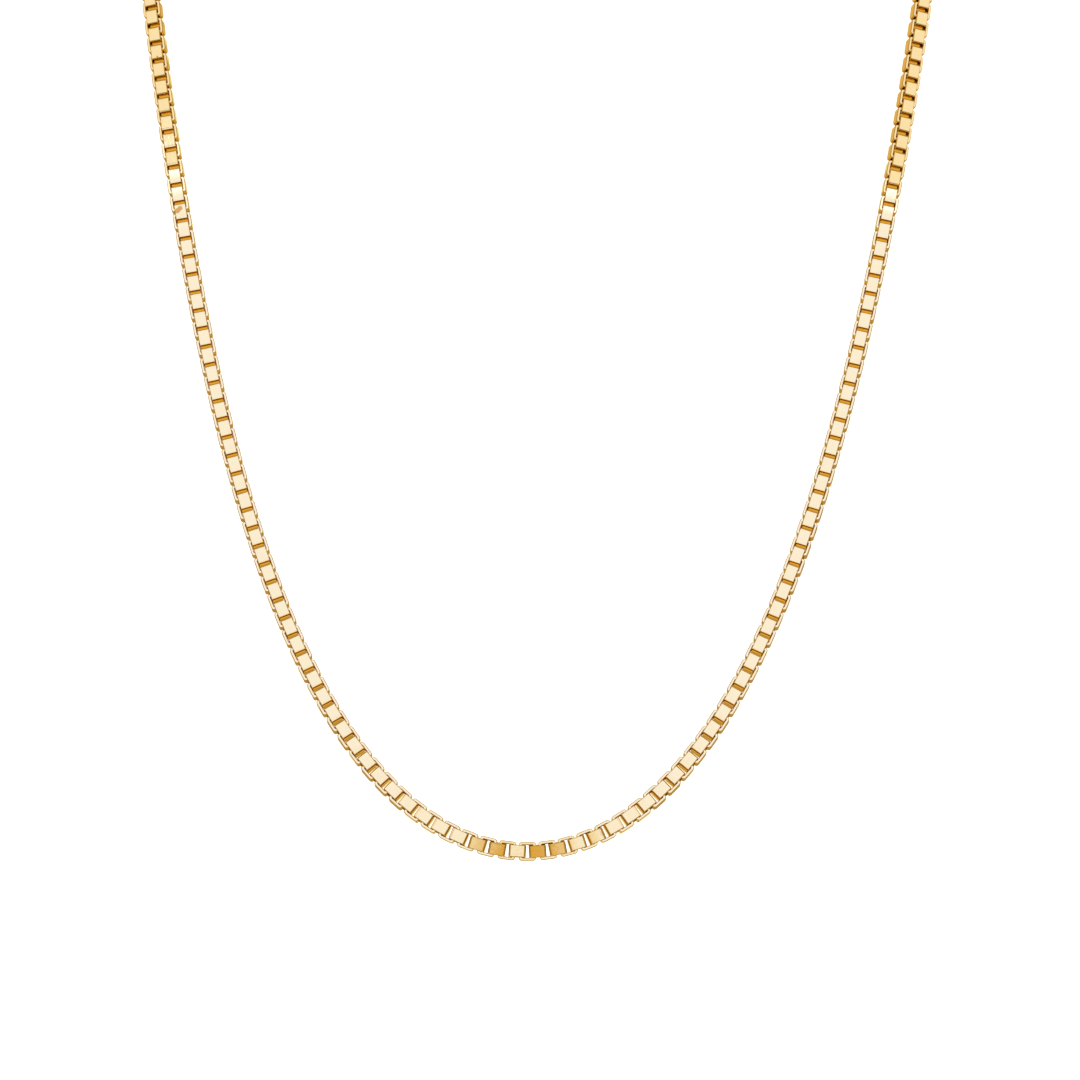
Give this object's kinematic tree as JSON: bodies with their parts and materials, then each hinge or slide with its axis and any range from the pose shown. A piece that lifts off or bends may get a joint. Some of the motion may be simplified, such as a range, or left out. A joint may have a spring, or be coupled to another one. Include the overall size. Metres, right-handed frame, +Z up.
{
  "type": "box chain necklace",
  "caption": "Yellow gold box chain necklace: a closed loop of interlocked square tube links that hangs in a U, with jump rings and a plain clasp at the nape.",
  "frame": {"origin": "at the nape, on the neck side of the clasp, where the necklace rests on the back of the neck", "axes": "+Z up, -Y towards the front of the wearer, +X to the right in the front view"},
  "size_m": [0.1132, 0.0704, 0.1461],
  "materials": {
    "chain_gold": "polished 18-carat yellow gold",
    "finding_gold": "polished 18-carat yellow gold"
  },
  "bodies": {
    "root": {"chain_front": "chain_gold", "chain_back": "chain_gold", "jump_ring_left": "finding_gold", "jump_ring_right": "finding_gold", "clasp": "finding_gold"}
  },
  "joints": []
}
